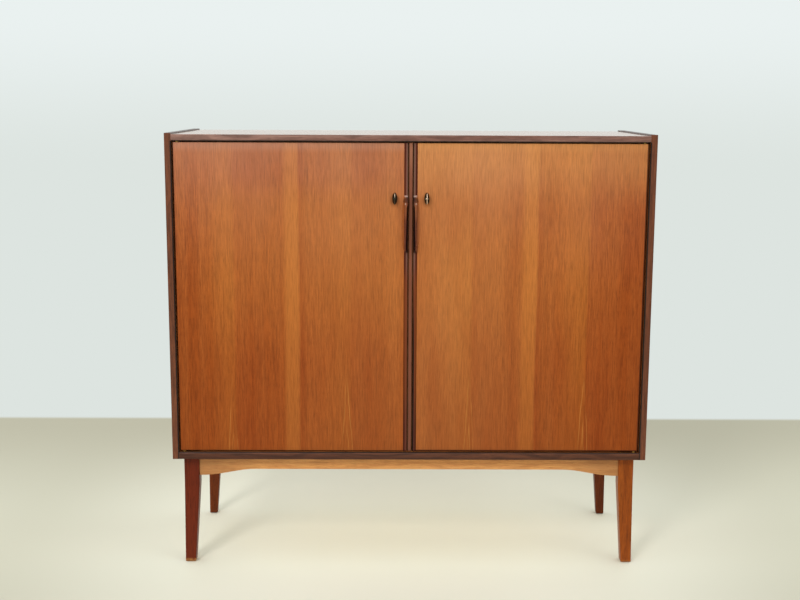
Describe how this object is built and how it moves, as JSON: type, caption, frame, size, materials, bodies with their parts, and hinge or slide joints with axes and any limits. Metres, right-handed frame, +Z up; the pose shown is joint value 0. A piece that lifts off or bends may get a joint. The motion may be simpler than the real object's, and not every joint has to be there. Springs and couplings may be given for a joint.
{
  "type": "highboard",
  "caption": "Tall veneered cupboard on a tapered-leg frame, with hinged doors, carved pulls, locks with keys and adjustable shelves.",
  "frame": {"origin": "on the floor, under the middle of the box round the whole cabinet with its keys", "axes": "+X along the width to the right as seen from the front, +Y from the doors to the back, +Z up"},
  "size_m": [1.17, 0.448, 1.077],
  "materials": {
    "case_veneer": "oiled teak veneer on board, satin",
    "door_veneer": "upright teak veneer leaves, satin lacquer",
    "back_board": "thin plain board, matt",
    "dark_wood": "solid dark brown hardwood, satin",
    "handle_wood": "carved dark brown hardwood, polished by hands",
    "leg_wood": "solid red-brown hardwood, satin",
    "apron_wood": "solid light brown hardwood, satin",
    "block_wood": "sawn softwood",
    "dowel_wood": "turned beech",
    "brass": "aged brass",
    "steel": "dull plated steel"
  },
  "bodies": {
    "case": {"back_panel": "back_board", "bottom_lipping": "dark_wood", "bottom_panel": "case_veneer", "case_dowels": "dowel_wood", "centre_bead": "dark_wood", "centre_partition": "case_veneer", "corner_blocks": "block_wood", "foot_glides": "steel", "front_apron": "apron_wood", "front_leg_left": "leg_wood", "front_leg_right": "leg_wood", "hinge_case_leaves": "brass", "rear_apron": "apron_wood", "rear_leg_left": "leg_wood", "rear_leg_right": "leg_wood", "shelf_left_1": "case_veneer", "shelf_left_2": "case_veneer", "shelf_pins": "brass", "shelf_right_1": "case_veneer", "shelf_right_2": "case_veneer", "side_left": "case_veneer", "side_lipping_left": "dark_wood", "side_lipping_right": "dark_wood", "side_rail_left": "apron_wood", "side_rail_right": "apron_wood", "side_right": "case_veneer", "strike_plates": "steel", "top_lipping": "dark_wood", "top_panel": "case_veneer"},
    "door_left": {"door_left_edge_strip": "dark_wood", "door_left_escutcheon": "brass", "door_left_handle": "handle_wood", "door_left_hinge_leaves": "brass", "door_left_lock_case": "steel", "door_left_panel": "door_veneer"},
    "door_right": {"door_right_edge_strip": "dark_wood", "door_right_escutcheon": "brass", "door_right_handle": "handle_wood", "door_right_hinge_leaves": "brass", "door_right_lock_case": "steel", "door_right_panel": "door_veneer"},
    "key_left": {"key_left": "brass"},
    "key_right": {"key_right": "brass"},
    "bolt_left": {"bolt_left": "steel"},
    "bolt_right": {"bolt_right": "steel"}
  },
  "joints": [
    {"name": "door_left_hinge", "type": "hinge", "parent": "case", "child": "door_left", "pos_m": [-0.5575, -0.192, 0.676], "axis": [0, 0, -1], "range_deg": [0, 105]},
    {"name": "door_right_hinge", "type": "hinge", "parent": "case", "child": "door_right", "pos_m": [0.5575, -0.192, 0.676], "axis": [0, 0, 1], "range_deg": [0, 105]},
    {"name": "key_left_turn", "type": "hinge", "parent": "door_left", "child": "key_left", "pos_m": [-0.0385, -0.18, 0.9235], "axis": [0, -1, 0], "range_deg": [0, 90]},
    {"name": "key_right_turn", "type": "hinge", "parent": "door_right", "child": "key_right", "pos_m": [0.0385, -0.18, 0.9235], "axis": [0, 1, 0], "range_deg": [0, 90]},
    {"name": "bolt_left_slide", "type": "slide", "parent": "door_left", "child": "bolt_left", "axis": [1, 0, 0], "range_m": [0, 0.007]},
    {"name": "bolt_right_slide", "type": "slide", "parent": "door_right", "child": "bolt_right", "axis": [-1, 0, 0], "range_m": [0, 0.007]}
  ],
  "couplings": [
    {"joint": "bolt_left_slide", "follows": "key_left_turn", "m_per_rad": 0.004456},
    {"joint": "bolt_right_slide", "follows": "key_right_turn", "m_per_rad": 0.004456}
  ]
}
